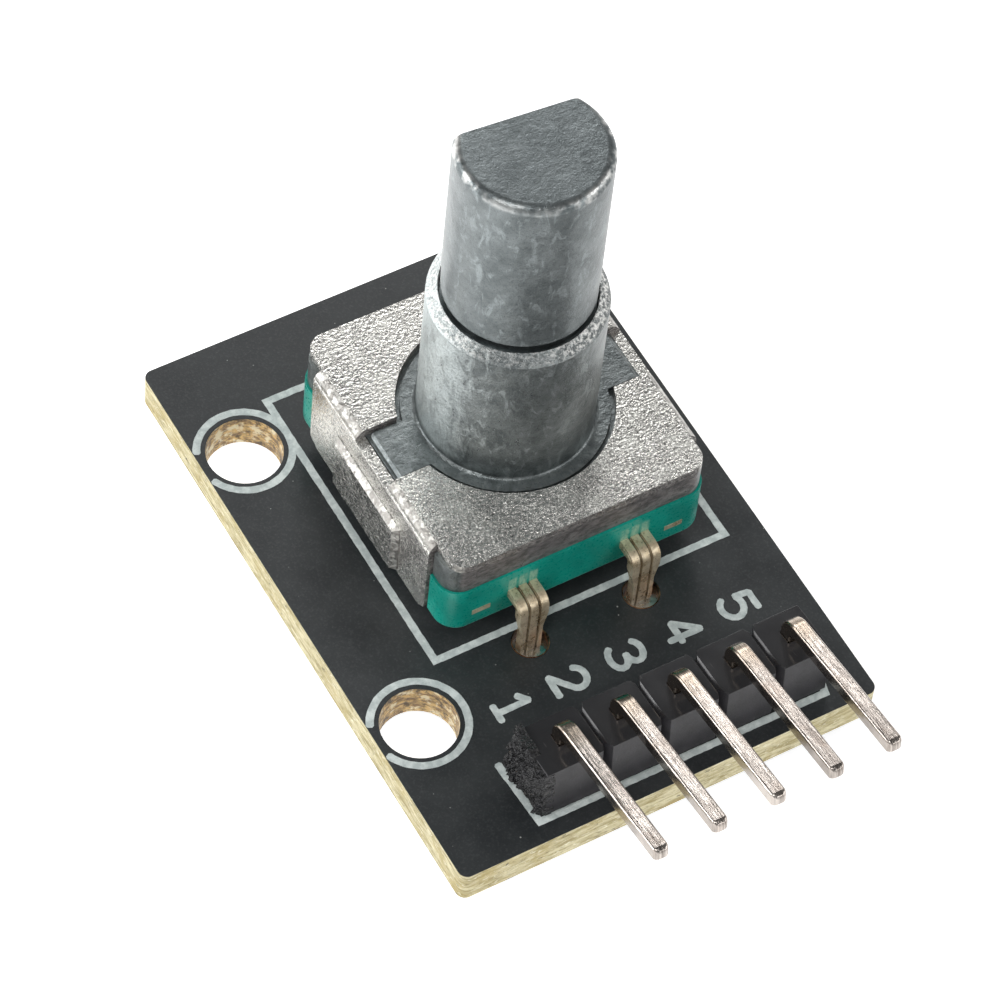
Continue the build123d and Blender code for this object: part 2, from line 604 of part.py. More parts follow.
def make_switch_dome():
    """Thin spherical snap dome standing on the rim contact."""
    rise = DOME_TOP - PIT_FLOOR
    radius = (DOME_RADIUS ** 2 + rise ** 2) / (2 * rise)
    centre = Pos(0, 0, DOME_TOP - radius)
    shell = centre * (Sphere(radius) - Sphere(radius - DOME_SHEET))
    return shell & Pos(0, 0, PIT_FLOOR + rise) * Cylinder(2 * DOME_RADIUS, 2 * rise)


def make_switch_plunger():
    """Small pusher between the shaft's tip and the dome."""
    flange_height = PLUNGER_FLANGE_TOP - PLUNGER_BOTTOM
    stub_height = PLUNGER_TOP - PLUNGER_FLANGE_TOP
    flange = Pos(0, 0, PLUNGER_BOTTOM + flange_height / 2) * Cylinder(PLUNGER_FLANGE_RADIUS, flange_height)
    stub = Pos(0, 0, PLUNGER_FLANGE_TOP + stub_height / 2) * Cylinder(PLUNGER_STUB_RADIUS, stub_height)
    return flange + stub


def make_solder_joint(x, y, radius, lead):
    """Solder filling a plated hole from below, with a concave cone round the lead."""
    pad_face = BOARD_BOTTOM - PAD_THICKNESS
    pad_radius = radius + PAD_WIDTH - SOLDER_RIM_MARGIN
    fill_top = BOARD_TOP - SOLDER_TOP_GAP
    neck = radius * SOLDER_NECK
    hollow = ((pad_radius + neck) / 2 - SOLDER_HOLLOW, pad_face - SOLDER_HOLLOW_DROP)
    profile = Plane.XZ * make_face([
        Line((0, fill_top), (radius - PLATING, fill_top)),
        Line((radius - PLATING, fill_top), (radius - PLATING, pad_face)),
        Line((radius - PLATING, pad_face), (pad_radius, pad_face)),
        ThreePointArc((pad_radius, pad_face), hollow, (neck, pad_face - SOLDER_DROP)),
        Line((neck, pad_face - SOLDER_DROP), (0, pad_face - SOLDER_DROP)),
        Line((0, pad_face - SOLDER_DROP), (0, fill_top)),
    ])
    joint = Pos(x, y, 0) * revolve(profile, Axis.Z)
    return joint - lead


def make_resistor(x, y):
    """Chip resistor under the board: body, two end caps and their solder fillets."""
    length, width, height = RESISTOR_SIZE
    top = BOARD_BOTTOM - RESISTOR_CLEARANCE
    core_half = length / 2 - RESISTOR_CAP
    core = block((x - width / 2, x + width / 2), (y - core_half, y + core_half), (top - height, top))
    caps = []
    fillets = []
    for side in (-1, 1):
        outer_y = y + side * length / 2
        inner_y = outer_y - side * RESISTOR_CAP
        ys = (min(outer_y, inner_y), max(outer_y, inner_y))
        caps.append(block((x - width / 2, x + width / 2), ys, (top - height, top)))
        toe = outer_y + side * SOLDER_FILLET_REACH
        outline = Plane.YZ * Polygon((outer_y, BOARD_BOTTOM), (toe, BOARD_BOTTOM),
                                     (outer_y, BOARD_BOTTOM - SOLDER_FILLET_HEIGHT), align=None)
        fillets.append(Pos(x - width / 2, 0, 0) * extrude(outline, amount=width, dir=(1, 0, 0)))
    return core, caps, fillets


def build_parts():
    pins = {f"header_pin_{i + 1}": make_header_pin(x) for i, x in enumerate(PIN_XS)}
    contacts = {
        "contact_a": make_contact_a(),
        "contact_common": make_contact_common(),
        "contact_b": make_contact_b(),
        "switch_contact_centre": make_switch_contact_centre(),
        "switch_contact_rim": make_switch_contact_rim(),
    }
    stubs = make_lead_frame_stubs()
    embedded = list(contacts.values()) + stubs
    signal_leads = [contacts[name] for name in ("contact_a", "contact_common", "contact_b")]
    switch_leads = [contacts["switch_contact_centre"], contacts["switch_contact_rim"]]
    header_joints = [make_solder_joint(x, HEADER_HOLE_Y, PIN_HOLE_RADIUS, pin)
                     for x, pin in zip(PIN_XS, pins.values())]
    encoder_joints = [make_solder_joint(x, SIGNAL_ROW_Y, TERMINAL_HOLE_RADIUS, lead)
                      for x, lead in zip(SIGNAL_XS, signal_leads)]
    encoder_joints += [make_solder_joint(x, SWITCH_ROW_Y, TERMINAL_HOLE_RADIUS, lead)
                       for x, lead in zip(SWITCH_XS, switch_leads)]
    cores, caps, fillets = zip(*[make_resistor(x, y) for x, y in RESISTOR_SPOTS])
    nodes = {
        "circuit_board": make_circuit_board(),
        "plated_holes": Compound(children=[make_plated_hole(*hole) for hole in through_holes()]),
        "header_strip": make_header_strip(),
        "header_solder": Compound(children=header_joints),
        "encoder_solder": Compound(children=encoder_joints),
        "metal_cover": make_metal_cover(),
        "bushing": make_bushing(),
        "contact_base": make_contact_base(embedded),
        "lead_frame_stubs": Compound(children=stubs),
        "shaft": make_shaft(),
        "retaining_clip": make_retaining_clip(),
        "rotor": make_rotor(),
        "rotor_wiper": make_wiper(),
        "detent_spring": make_detent_spring(),
        "switch_dome": make_switch_dome(),
        "switch_plunger": make_switch_plunger(),
        "resistor_bodies": Compound(children=list(cores)),
        "resistor_caps": Compound(children=[cap for pair in caps for cap in pair]),
        "resistor_solder": Compound(children=[piece for pair in fillets for piece in pair]),
    }
    nodes.update(pins)
    nodes.update(contacts)
    return nodes


os.makedirs("parts", exist_ok=True)
for node, shape in build_parts().items():
    export_step(shape, f"parts/{node}.step")
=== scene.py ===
import json
import math
import random

import bmesh
import bpy
from mathutils import Matrix, Vector, noise


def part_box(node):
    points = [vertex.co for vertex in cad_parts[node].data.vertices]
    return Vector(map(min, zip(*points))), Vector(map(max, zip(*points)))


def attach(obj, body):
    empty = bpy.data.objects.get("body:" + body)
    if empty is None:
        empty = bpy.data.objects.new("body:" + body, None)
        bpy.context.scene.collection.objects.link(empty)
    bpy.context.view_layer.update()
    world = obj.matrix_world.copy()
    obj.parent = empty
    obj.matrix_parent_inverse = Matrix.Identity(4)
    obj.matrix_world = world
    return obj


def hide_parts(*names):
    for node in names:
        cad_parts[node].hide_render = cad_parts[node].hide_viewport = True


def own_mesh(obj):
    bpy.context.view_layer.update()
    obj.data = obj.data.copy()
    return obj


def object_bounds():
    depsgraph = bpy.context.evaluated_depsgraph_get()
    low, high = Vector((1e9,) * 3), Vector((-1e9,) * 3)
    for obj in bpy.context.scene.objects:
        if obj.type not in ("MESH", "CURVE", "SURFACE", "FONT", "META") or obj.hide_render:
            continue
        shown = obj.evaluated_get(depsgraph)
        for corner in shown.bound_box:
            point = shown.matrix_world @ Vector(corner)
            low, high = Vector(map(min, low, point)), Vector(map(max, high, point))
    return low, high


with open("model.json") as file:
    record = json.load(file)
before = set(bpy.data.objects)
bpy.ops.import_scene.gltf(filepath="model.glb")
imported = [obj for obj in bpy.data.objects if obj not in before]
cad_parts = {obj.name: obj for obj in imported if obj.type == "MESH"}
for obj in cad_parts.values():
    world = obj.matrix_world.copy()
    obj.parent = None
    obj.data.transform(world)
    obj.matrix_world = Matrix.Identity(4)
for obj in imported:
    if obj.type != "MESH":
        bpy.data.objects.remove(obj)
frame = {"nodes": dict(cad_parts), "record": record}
cad_low, cad_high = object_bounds()
nodes = frame["nodes"]
MM = 0.001

# ---- places read from the frame ----
board_low, board_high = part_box("circuit_board")
BOARD_TOP = board_high.z
strip_low, strip_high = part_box("header_strip")
holes = next(m for m in frame["record"]["mounts"] if m["name"] == "board_holes")
hole_middle = Vector(holes["pos_m"])
HOLE_RADIUS = holes["dims"]["hole_r_mm"] * MM
half_spacing = Vector((0, holes["dims"]["spacing_y_mm"] * MM / 2, 0))
screw_holes = [hole_middle + half_spacing, hole_middle - half_spacing]
pin_names = [f"header_pin_{i}" for i in range(1, 6)]
pin_xs = [(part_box(name)[0].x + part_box(name)[1].x) / 2 for name in pin_names]
TERMINAL_HALF_WIDTH = 0.65 * MM
RIB_SPACING = 0.46 * MM
terminal_xs = [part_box("switch_contact_centre")[0].x + TERMINAL_HALF_WIDTH,
               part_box("switch_contact_rim")[1].x - TERMINAL_HALF_WIDTH]

# ---- printed legend, millimetres from the shaft axis ----
INK_THICKNESS = 0.012
INK_LAYER = 0.0015
INK_LINE = 0.31
RING_LINE = 0.31
RING_RADIUS = 2.06
BODY_OUTLINE = (-6.23, 6.86, -6.2, 7.63)
HOLE_GAP = 0.88
RING_LAYER = 2
STRIP_OUTLINE = ((-6.39, -11.41), (-6.22, -14.33), (6.51, -14.37), (6.66, -13.77))
DIGIT_Y = -9.35
DIGIT_HEIGHT = 1.4
DIGIT_WIDTH = 0.95
DIGIT_LINE = 0.28
STROKE_STEP = 0.16
CAP_REACH = 0.28
CAP_TAPER = 0.45
INK_WOBBLE = 0.07

# ---- header ----
HEADER_LEAN_SLOPE = math.tan(math.radians(4.5))
HEADER_TEAR_X = strip_low.x + 0.74 * MM
TORN_REACH = 0.88
TORN_ROOT = 0.3 * MM
TORN_GRID = 72
TORN_DEPTH_SHARE = 0.47
TORN_HEIGHT_SHARE = 0.49

# ---- studio: horizontal way to its lighter half, glow of the paper, strengths from horizon to overhead ----
BRIGHT_SIDE = (-0.82, 0.57)
FLOOR_GLOW_BRIGHT = 1.3
FLOOR_GLOW_DIM = 0.3
FLOOR_REACH = 0.6
WORLD_LOW = 0.95
WORLD_HIGH = 0.16
WORLD_FADE = (0.05, 0.75)
LIGHT_DISTANCE = 0.35

# ---- camera ----
LENS = 173.8
SENSOR = 36.0
CAMERA_AZIMUTH = math.radians(-35.12)
CAMERA_ELEVATION = math.radians(55.06)
CAMERA_ROLL = math.radians(6.73)
CAMERA_DISTANCE = 184.13 * MM
CAMERA_TARGET = Vector((-2.48, -3.92, 0.0)) * MM


# ======================================================================================
# Shader building
# ======================================================================================

class Paint:
    """A material under construction: a Principled shader and short calls for the nodes that feed it."""

    def __init__(self, name, **settings):
        self.material = bpy.data.materials.new(name)
        self.material.use_nodes = True
        self.tree = self.material.node_tree
        self.tree.nodes.clear()
        output = self.tree.nodes.new("ShaderNodeOutputMaterial")
        self.shader = self.tree.nodes.new("ShaderNodeBsdfPrincipled")
        self.tree.links.new(self.shader.outputs[0], output.inputs[0])
        for key, value in settings.items():
            self.shader.inputs[key.replace("_", " ")].default_value = value
        place = self.tree.nodes.new("ShaderNodeTexCoord")
        self.place = place.outputs["Object"]
        self.facing = place.outputs["Normal"]

    def node(self, kind, inputs=None, **options):
        made = self.tree.nodes.new(kind)
        for key, value in options.items():
            setattr(made, key, value)
        for key, value in (inputs or {}).items():
            if isinstance(value, bpy.types.NodeSocket):
                self.tree.links.new(value, made.inputs[key])
            else:
                made.inputs[key].default_value = value
        return made

    def stretched(self, sx, sy, sz):
        """Object coordinates scaled along each axis."""
        made = self.node("ShaderNodeVectorMath", {0: self.place, 1: (sx, sy, sz)}, operation="MULTIPLY")
        return made.outputs[0]

    def noise(self, size_mm, detail=4.0, rough=0.55, place=None, warp=0.0):
        """Noise whose blobs are about size_mm across."""
        made = self.node("ShaderNodeTexNoise", {
            "Vector": place or self.place, "Scale": 1 / (size_mm * MM), "Detail": detail,
            "Roughness": rough, "Distortion": warp})
        return made.outputs["Fac"]

    def cells(self, size_mm):
        """Distance to the nearest of many points about size_mm apart."""
        made = self.node("ShaderNodeTexVoronoi", {"Vector": self.place, "Scale": 1 / (size_mm * MM)})
        return made.outputs["Distance"]

    def fit(self, value, low, high, to_low=0.0, to_high=1.0, smooth=False):
        """Maps low..high to to_low..to_high and stays at the ends outside."""
        made = self.node("ShaderNodeMapRange", {
            "Value": value, "From Min": low, "From Max": high, "To Min": to_low, "To Max": to_high},
            interpolation_type="SMOOTHSTEP" if smooth else "LINEAR")
        return made.outputs["Result"]

    def sum(self, operation, a, b=0.0):
        """Any Math node."""
        return self.node("ShaderNodeMath", {0: a, 1: b}, operation=operation).outputs[0]

    def blend(self, factor, a, b):
        """Colour a at factor 0, colour b at factor 1."""
        made = self.node("ShaderNodeMix", data_type="RGBA")
        for socket, value in ((made.inputs[0], factor), (made.inputs[6], a), (made.inputs[7], b)):
            if isinstance(value, bpy.types.NodeSocket):
                self.tree.links.new(value, socket)
            elif socket is made.inputs[0]:
                socket.default_value = value
            else:
                socket.default_value = (*value, 1)
        return made.outputs[2]

    def split(self, vector):
        return self.node("ShaderNodeSeparateXYZ", {0: vector}).outputs

    def toward_bright_side(self, x, y):
        """Distance along BRIGHT_SIDE, the way to the lighter half of the studio."""
        along_x = self.sum("MULTIPLY", x, BRIGHT_SIDE[0])
        along_y = self.sum("MULTIPLY", y, BRIGHT_SIDE[1])
        return self.sum("ADD", along_x, along_y)

    def set(self, **sockets):
        """Links outputs to the shader's own sockets."""
        for key, value in sockets.items():
            self.tree.links.new(value, self.shader.inputs[key.replace("_", " ")])

    def bumps(self, *layers):
        """Stacks (height, depth_mm) layers into one normal."""
        normal = None
        for height, depth_mm in layers:
            inputs = {"Height": height, "Distance": depth_mm * MM, "Strength": 1.0}
            if normal is not None:
                inputs["Normal"] = normal
            normal = self.node("ShaderNodeBump", inputs).outputs[0]
        self.tree.links.new(normal, self.shader.inputs["Normal"])


def solder_mask():
    """Black mask: slightly uneven lacquer with fine dust and a few pale specks."""
    p = Paint("solder_mask", Specular_IOR_Level=0.5, Coat_Weight=0.06, Coat_Roughness=0.3)
    cloud = p.noise(2.6, 3)
    grain = p.noise(0.09, 2)
    tone = p.blend(p.fit(cloud, 0.35, 0.7), (0.020, 0.023, 0.025), (0.034, 0.038, 0.040))
    dust = p.fit(p.cells(0.62), 0.060, 0.035, smooth=True)
    dust = p.sum("MULTIPLY", dust, p.fit(p.noise(1.7, 2), 0.48, 0.62))
    tone = p.blend(p.fit(grain, 0.5, 0.85, 0, 0.3), tone, (0.12, 0.125, 0.125))
    p.set(Base_Color=p.blend(dust, tone, (0.42, 0.43, 0.41)))
    p.set(Roughness=p.fit(cloud, 0.3, 0.7, 0.34, 0.48))
    p.bumps((cloud, 0.012), (grain, 0.004))
    return p.material


def laminate_edge():
    """Routed edge of glass laminate: yellow-tan fibres in thin layers, with nicks and resin stains."""
    p = Paint("laminate_edge", Specular_IOR_Level=0.35)
    layers = p.noise(0.18, 5, 0.65, p.stretched(0.16, 0.16, 1.0), warp=0.3)
    tufts = p.noise(0.16, 4, 0.7, p.stretched(0.40, 0.40, 1.0), warp=0.8)
    stain = p.noise(1.3, 4)
    nicks = p.noise(0.30, 3, 0.6, p.stretched(0.6, 0.6, 1.0))
    tone = p.blend(p.fit(layers, 0.38, 0.60), (0.34, 0.28, 0.12), (0.66, 0.60, 0.38))
    tone = p.blend(p.fit(stain, 0.50, 0.68, 0, 0.65), tone, (0.42, 0.33, 0.12))
    tone = p.blend(p.fit(tufts, 0.55, 0.68, 0, 0.8), tone, (0.86, 0.83, 0.66))
    tone = p.blend(p.fit(tufts, 0.42, 0.32, 0, 0.75), tone, (0.15, 0.12, 0.05))
    tone = p.blend(p.fit(nicks, 0.34, 0.27, 0, 0.85), tone, (0.05, 0.045, 0.03))
    p.set(Base_Color=tone, Roughness=p.fit(tufts, 0.3, 0.7, 0.5, 0.8))
    p.bumps((layers, 0.06), (tufts, 0.08))
    return p.material


def hole_wall():
    """Drilled laminate: golden brown, resin smears and torn fibres round the hole."""
    p = Paint("hole_wall", Specular_IOR_Level=0.5)
    rings = p.noise(0.16, 4, 0.65, p.stretched(0.40, 0.40, 1.0), warp=0.6)
    smear = p.noise(0.42, 4, 0.6)
    tone = p.blend(p.fit(rings, 0.42, 0.58), (0.22, 0.12, 0.03), (0.72, 0.50, 0.20))
    tone = p.blend(p.fit(smear, 0.52, 0.62, 0, 0.9), tone, (0.90, 0.82, 0.58))
    tone = p.blend(p.fit(smear, 0.45, 0.36, 0, 0.9), tone, (0.06, 0.035, 0.012))
    p.set(Base_Color=tone, Roughness=p.fit(rings, 0.3, 0.7, 0.3, 0.6))
    p.bumps((rings, 0.09), (smear, 0.06))
    return p.material


def legend_ink():
    """White screen-printed ink, a little grey, with pinholes."""
    p = Paint("legend_ink", Specular_IOR_Level=0.3)
    mottle = p.noise(0.35, 4, 0.6)
    pores = p.noise(0.06, 3)
    tone = p.blend(p.fit(mottle, 0.4, 0.65), (0.50, 0.56, 0.55), (0.72, 0.78, 0.76))
    tone = p.blend(p.fit(pores, 0.62, 0.74, 0, 0.4), tone, (0.22, 0.25, 0.25))
    p.set(Base_Color=tone, Roughness=p.fit(pores, 0.3, 0.7, 0.55, 0.75))
    p.bumps((pores, 0.010), (mottle, 0.01))
    return p.material


def nickel_sheet():
    """Nickel-plated sheet with a leathery, pebbled surface and darker sheared edges, with painted shade in
    its pebble hollows and creases and painted highlights on the pebble tops.
    """
    p = Paint("nickel_sheet", Metallic=1.0)
    pebble = p.noise(0.135, 2, 0.5)
    fine = p.noise(0.085, 3, 0.6)
    patches = p.noise(1.5, 4, 0.6)
    wrinkle_noise = p.noise(0.26, 3, 0.6, warp=0.4)
    ridge = p.sum("ABSOLUTE", p.sum("SUBTRACT", wrinkle_noise, 0.5))
    wrinkle = p.fit(ridge, 0.0, 0.028, smooth=True)
    painted_light_share = p.fit(p.noise(2.4, 3, 0.6), 0.40, 0.58, 0.25, 1.0)
    tone = p.blend(p.fit(patches, 0.35, 0.68), (0.64, 0.63, 0.60), (0.86, 0.85, 0.80))
    # Painted shade along the crease grooves, stronger in random patches.
    creases = p.sum("MULTIPLY", p.fit(wrinkle, 0.0, 1.0, 0.55, 0.0), painted_light_share)
    tone = p.blend(creases, tone, (0.12, 0.113, 0.105))
    # Painted shade in the pebble hollows.
    pits = p.fit(pebble, 0.40, 0.32, 0, 0.8)
    tone = p.blend(p.sum("MULTIPLY", pits, painted_light_share), tone, (0.10, 0.094, 0.088))
    tone = p.blend(p.fit(fine, 0.38, 0.31, 0, 0.7), tone, (0.10, 0.095, 0.09))
    # Painted highlights on the pebble tops.
    tone = p.blend(p.fit(pebble, 0.60, 0.70, 0, 0.30), tone, (1.0, 0.99, 0.95))
    sheared = p.fit(p.sum("ABSOLUTE", p.split(p.facing)[1]), 0.80, 0.92)
    tears = p.noise(0.12, 4, 0.7, p.stretched(0.5, 1.0, 1.0))
    shear_tone = p.blend(p.fit(tears, 0.40, 0.62), (0.12, 0.112, 0.11), (0.34, 0.32, 0.305))
    tone = p.blend(sheared, tone, shear_tone)
    sideways = p.sum("ABSOLUTE", p.split(p.facing)[0])
    bend = p.sum("MULTIPLY", p.fit(sideways, 0.25, 0.45), p.fit(sideways, 0.94, 0.84))
    worn = p.fit(wrinkle_noise, 0.44, 0.58, 0.15, 0.85)
    tone = p.blend(p.sum("MULTIPLY", bend, worn), tone, (0.30, 0.285, 0.265))
    p.set(Metallic=p.fit(sheared, 0.0, 1.0, 1.0, 0.35))
    rough = p.sum("ADD", p.fit(patches, 0.3, 0.7, 0.17, 0.28), p.sum("MULTIPLY", bend, 0.16))
    p.set(Base_Color=tone, Roughness=p.sum("ADD", rough, p.fit(fine, 0.4, 0.7, 0, 0.06)))
    y, z = p.split(p.place)[1:]
    on_top = p.fit(z, -0.35 * MM, -0.10 * MM, 0.55, 1.0)
    toward_front = p.fit(y, 1.0 * MM, -4.5 * MM, 0.36, 1.0)
    pebble_height = p.sum("MULTIPLY", p.sum("MULTIPLY", pebble, on_top), toward_front)
    wrinkle_height = p.sum("MULTIPLY", wrinkle, on_top)
    dents = p.sum("MULTIPLY", wrinkle_noise, bend)
    p.bumps((pebble_height, 0.072), (wrinkle_height, 0.012), (fine, 0.010), (dents, 0.10))
    return p.material


def cast_zinc(name, dark, light, roughness, grain_depth, peel_depth, painted_side_highlight, rim):
    """Die-cast zinc alloy: cloudy grey with faint flow marks, upward faces painted lighter and a painted
    highlight on the side toward the bright half of the studio.

    The rim is a height band of grain with painted glints on the flanks toward and away from the bright side
    and painted shade in its hollows: (low, high, chip size, chip depth, share of dark).
    """
    p = Paint(name, Specular_IOR_Level=0.5)
    cloud = p.noise(1.1, 6, 0.68)
    flow = p.noise(0.5, 5, 0.65, p.stretched(1.0, 1.0, 0.45), warp=0.8)
    grain = p.noise(0.07, 3, 0.6)
    peel = p.noise(0.24, 4, 0.6)
    x, y, z = p.split(p.place)
    tone = p.blend(p.fit(cloud, 0.36, 0.64), dark, light)
    bright = tuple(min(1.0, c * 3.0) for c in light)
    pale = tuple(min(1.0, c * 1.7) for c in light)
    # Upward faces painted lighter: a painted highlight.
    up = p.fit(p.split(p.facing)[2], 0.90, 0.98, 0.0, 0.13)
    tone = p.blend(up, tone, bright)
    # Painted highlight on the side toward the bright half of the studio, broken up by the flow marks, only
    # above the cover.
    bright_side = p.toward_bright_side(x, y)
    painted_light_share = p.sum("ADD", bright_side, p.fit(flow, 0.0, 1.0, -2.2 * MM, 2.2 * MM))
    above_cover = p.fit(z, 0.0, 0.3 * MM)
    painted_light_share = p.sum("MULTIPLY", p.fit(painted_light_share, 1.0 * MM, 3.2 * MM, 0.0, painted_side_highlight), above_cover)
    tone = p.blend(painted_light_share, tone, bright)
    tone = p.blend(p.fit(flow, 0.54, 0.66, 0, 0.6), tone, pale)
    tone = p.blend(p.fit(grain, 0.44, 0.34, 0, 0.45), tone, tuple(c * 0.45 for c in dark))
    low, high, chip_size, chip_depth, dark_share = rim
    above = p.fit(z, low * MM, (low + 0.12) * MM)
    below = p.fit(z, high * MM, (high - 0.06) * MM)
    band = p.sum("MULTIPLY", above, below)
    chips = p.noise(chip_size, 3, 0.7)
    # Painted glints on the rim's flanks toward and away from the bright side, and painted shade in the
    # grain's hollows.
    flanks = p.fit(p.sum("ABSOLUTE", bright_side), 1.0 * MM, 2.6 * MM, 0.25, 1.0)
    glints = p.sum("MULTIPLY", p.fit(chips, 0.44, 0.62, 0, 0.85), flanks)
    tone = p.blend(p.sum("MULTIPLY", band, glints), tone, (0.95, 0.94, 0.91))
    hollows = p.fit(chips, 0.42, 0.34, 0, dark_share)
    tone = p.blend(p.sum("MULTIPLY", band, hollows), tone, (0.10, 0.105, 0.10))
    front_wall = p.fit(p.sum("ABSOLUTE", p.split(p.facing)[1]), 0.86, 0.95)
    flat_wall = p.sum("MULTIPLY", front_wall, p.fit(z, -0.35 * MM, -0.42 * MM))
    tears = p.noise(0.16, 4, 0.7, p.stretched(0.45, 1.0, 1.0))
    skin = p.blend(p.fit(tears, 0.40, 0.62), (0.10, 0.092, 0.092), (0.25, 0.235, 0.23))
    tone = p.blend(flat_wall, tone, skin)
    p.set(Metallic=p.fit(flat_wall, 0.0, 1.0, 0.85, 0.35))
    p.set(Base_Color=tone, Roughness=p.fit(flow, 0.3, 0.7, *roughness))
    p.bumps((peel, peel_depth), (grain, grain_depth), (p.sum("MULTIPLY", chips, band), chip_depth))
    return p.material


def teal_plastic():
    """Glossy teal-green moulding with paler, thinner skin over the terminals."""
    p = Paint("teal_plastic", Specular_IOR_Level=0.5, Subsurface_Weight=0.06, Subsurface_Scale=0.4 * MM)
    p.shader.inputs["Subsurface Radius"].default_value = (0.3, 1.0, 0.8)
    swirl = p.noise(1.8, 4, 0.55)
    grain = p.noise(0.12, 3)
    tone = p.blend(p.fit(swirl, 0.35, 0.68), (0.0, 0.20, 0.155), (0.002, 0.33, 0.255))
    x, y, z = p.split(p.place)
    front = p.fit(p.sum("ABSOLUTE", y), 5.8 * MM, 5.95 * MM)
    above = p.fit(z, -2.92 * MM, -2.80 * MM)
    under = p.fit(z, -2.12 * MM, -2.26 * MM)
    streaks = p.noise(0.16, 3, 0.6, p.stretched(1.0, 1.0, 0.3))
    for centre in [x0 + i * RIB_SPACING for x0 in terminal_xs for i in (-1, 0, 1)]:
        near = p.fit(p.sum("ABSOLUTE", p.sum("SUBTRACT", x, centre)), 0.22 * MM, 0.13 * MM, smooth=True)
        mask = p.sum("MULTIPLY", p.sum("MULTIPLY", near, above), p.sum("MULTIPLY", under, front))
        mask = p.sum("MULTIPLY", mask, p.fit(streaks, 0.35, 0.6, 0.25, 0.8))
        tone = p.blend(mask, tone, (0.30, 0.50, 0.36))
    p.set(Base_Color=tone, Roughness=p.fit(grain, 0.3, 0.7, 0.24, 0.36))
    p.bumps((swirl, 0.02), (grain, 0.005))
    return p.material


def bronze():
    """Phosphor-bronze terminals with a dull oxide skin, small dark specks and painted shade in the grooves
    between the ribs.
    """
    p = Paint("bronze", Metallic=0.6, Specular_IOR_Level=0.5)
    tarnish = p.noise(0.5, 5, 0.65)
    drawn = p.noise(0.10, 4, 0.6, p.stretched(1.0, 0.25, 0.25))
    specks = p.noise(0.09, 3, 0.6)
    tone = p.blend(p.fit(tarnish, 0.35, 0.65), (0.52, 0.41, 0.26), (0.86, 0.75, 0.55))
    tone = p.blend(p.fit(drawn, 0.58, 0.72, 0, 0.55), tone, (0.34, 0.25, 0.16))
    tone = p.blend(p.fit(specks, 0.40, 0.30, 0, 0.8), tone, (0.12, 0.085, 0.055))
    x = p.split(p.place)[0]
    # Painted shade in the grooves between the ribs.
    grooves = [centre + side * RIB_SPACING / 2 for centre in terminal_xs + [0.0] for side in (-1, 1)]
    for centre in grooves:
        near = p.fit(p.sum("ABSOLUTE", p.sum("SUBTRACT", x, centre)), 0.065 * MM, 0.03 * MM, 0, 0.85)
        tone = p.blend(near, tone, (0.05, 0.032, 0.02))
    p.set(Base_Color=tone, Roughness=p.fit(tarnish, 0.3, 0.7, 0.24, 0.36))
    p.bumps((drawn, 0.010), (tarnish, 0.01), (specks, 0.02))
    return p.material


def tinned_pin():
    """Drawn tin-plated wire with long streaks, browner at the bend, where the plating is strained."""
    p = Paint("tinned_pin", Metallic=1.0)
    drawn = p.noise(0.085, 4, 0.6, p.stretched(1.0, 0.035, 0.035))
    blotch = p.noise(0.9, 4, 0.6)
    y = p.split(p.place)[1]
    bend = p.fit(y, -14.6 * MM, -13.2 * MM, smooth=True)
    tone = p.blend(p.fit(drawn, 0.36, 0.62), (0.27, 0.235, 0.21), (0.60, 0.545, 0.50))
    tone = p.blend(p.fit(blotch, 0.50, 0.70, 0, 0.35), tone, (0.44, 0.35, 0.29))
    tone = p.blend(p.sum("MULTIPLY", bend, 0.7), tone, (0.36, 0.29, 0.22))
    p.set(Base_Color=tone, Roughness=p.fit(blotch, 0.3, 0.7, 0.14, 0.24))
    p.bumps((drawn, 0.022))
    return p.material


def header_plastic():
    """Black moulding: shiny top, satin sides, fine scratches; the top faces are painted a little lighter
    than the sides.
    """
    p = Paint("header_plastic", Specular_IOR_Level=0.45)
    haze = p.noise(0.8, 4, 0.6)
    grain = p.noise(0.06, 3)
    scratch = p.noise(0.12, 2, 0.5, p.stretched(1.0, 0.12, 0.12))
    up = p.fit(p.split(p.facing)[2], 0.5, 0.8)
    sides = p.blend(p.fit(haze, 0.35, 0.65), (0.014, 0.0135, 0.016), (0.026, 0.025, 0.029))
    # Top faces painted a little lighter than the sides.
    tone = p.blend(up, sides, (0.030, 0.030, 0.032))
    tone = p.blend(p.fit(scratch, 0.70, 0.80, 0, 0.4), tone, (0.14, 0.14, 0.14))
    satin = p.fit(grain, 0.3, 0.7, 0.38, 0.52)
    shiny = p.fit(haze, 0.3, 0.7, 0.12, 0.20)
    rough = p.node("ShaderNodeMix", {0: up, 2: satin, 3: shiny}).outputs[0]
    p.set(Base_Color=tone, Roughness=rough)
    p.bumps((grain, 0.0015))
    return p.material


def torn_plastic():
    """The snapped end of the strip: dark, wet-looking crumbs that glitter."""
    p = Paint("torn_plastic", Specular_IOR_Level=0.55)
    crumbs = p.noise(0.15, 3, 0.7)
    flakes = p.cells(0.16)
    tone = p.blend(p.fit(crumbs, 0.4, 0.66), (0.004, 0.004, 0.0045), (0.022, 0.022, 0.025))
    p.set(Base_Color=tone, Roughness=p.fit(crumbs, 0.3, 0.7, 0.04, 0.16))
    p.bumps((crumbs, 0.16), (flakes, 0.06))
    return p.material


def copper_land():
    """Copper of the plated holes, dull and brown in the barrel, brighter in patches."""
    p = Paint("copper_land", Metallic=1.0)
    patch = p.noise(0.30, 4, 0.6)
    tone = p.blend(p.fit(patch, 0.40, 0.66), (0.11, 0.045, 0.025), (0.62, 0.36, 0.22))
    p.set(Base_Color=tone, Roughness=p.fit(patch, 0.3, 0.7, 0.25, 0.45))
    p.bumps((patch, 0.02))
    return p.material


